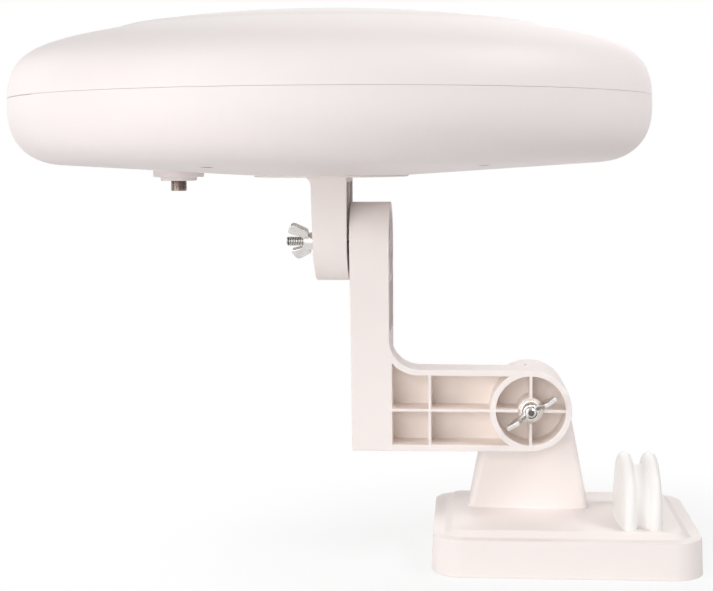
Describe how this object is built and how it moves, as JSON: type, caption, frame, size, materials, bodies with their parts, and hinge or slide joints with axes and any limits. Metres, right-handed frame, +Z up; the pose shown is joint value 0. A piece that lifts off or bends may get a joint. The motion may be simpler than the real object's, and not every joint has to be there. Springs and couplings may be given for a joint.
{
  "type": "dome antenna",
  "caption": "Flat round dome antenna for outdoor TV reception, on an L-shaped bracket with two wing-nut joints, a plinth base and a cable guide.",
  "frame": {"origin": "centre of the base's underside, midway between its four fixing screws", "axes": "+Z up through the plinth, +X along the base towards the cable guide, +Y away from the wing nut on the lower joint"},
  "size_m": [0.3956, 0.368, 0.3159],
  "materials": {
    "white_plastic": "fine satin moulding, warm white",
    "guide_plastic": "smooth satin, cleaner white",
    "zinc_steel": "bright zinc plate",
    "nickel_brass": "nickel plate",
    "contact_brass": "bright",
    "insulator_plastic": "plain moulding",
    "seal_rubber": "matt",
    "board_laminate": "solder mask",
    "tin_plate": "tinned sheet",
    "ferrite": "fired, matt",
    "lead_jacket": "smooth jacket",
    "aluminium_sheet": "mill finish"
  },
  "bodies": {
    "base": {"base": "white_plastic", "lower_bolt": "zinc_steel", "cable_guide": "guide_plastic", "guide_screws": "zinc_steel"},
    "lower_washer": {"lower_washer": "zinc_steel"},
    "lower_nut": {"lower_wing_nut": "zinc_steel"},
    "arm": {"arm": "white_plastic", "upper_bolt": "zinc_steel"},
    "upper_washer": {"upper_washer": "zinc_steel"},
    "upper_nut": {"upper_wing_nut": "zinc_steel"},
    "dome": {"dome_foot": "white_plastic", "foot_screws": "zinc_steel", "lower_cover": "white_plastic", "upper_cover": "white_plastic", "cover_seal": "seal_rubber", "case_screws": "zinc_steel", "f_connector": "nickel_brass", "connector_insulator": "insulator_plastic", "connector_contact": "contact_brass", "connector_seal": "seal_rubber", "amplifier_board": "board_laminate", "amplifier_shield": "tin_plate", "balun_core": "ferrite", "board_screws": "zinc_steel", "coax_lead": "lead_jacket", "blade_carrier": "insulator_plastic", "carrier_screw": "zinc_steel", "dipole_blade_1": "aluminium_sheet", "dipole_blade_2": "aluminium_sheet", "dipole_blade_3": "aluminium_sheet", "dipole_blade_4": "aluminium_sheet", "blade_screws": "zinc_steel", "low_band_loop": "aluminium_sheet"}
  },
  "joints": [
    {"name": "arm_swing", "type": "hinge", "parent": "base", "child": "arm", "pos_m": [-0.0195, 0, 0.0875], "axis": [0, 1, 0], "range_deg": [-30, 90]},
    {"name": "dome_tilt", "type": "hinge", "parent": "arm", "child": "dome", "pos_m": [-0.12359, 0, 0.1841], "axis": [1, 0, 0], "range_deg": [-60, 60]},
    {"name": "lower_washer_slide", "type": "slide", "parent": "base", "child": "lower_washer", "axis": [0, -1, 0], "range_m": [0, 0.002]},
    {"name": "lower_nut_turn", "type": "hinge", "parent": "lower_washer", "child": "lower_nut", "pos_m": [-0.0195, -0.024, 0.0875], "axis": [0, -1, 0], "range_deg": [0, 720]},
    {"name": "upper_washer_slide", "type": "slide", "parent": "arm", "child": "upper_washer", "axis": [-1, 0, 0], "range_m": [0, 0.002]},
    {"name": "upper_nut_turn", "type": "hinge", "parent": "upper_washer", "child": "upper_nut", "pos_m": [-0.15, 0, 0.1841], "axis": [-1, 0, 0], "range_deg": [0, 720]}
  ],
  "couplings": [
    {"joint": "lower_washer_slide", "follows": "lower_nut_turn", "m_per_rad": 0.00015915},
    {"joint": "upper_washer_slide", "follows": "upper_nut_turn", "m_per_rad": 0.00015915}
  ]
}
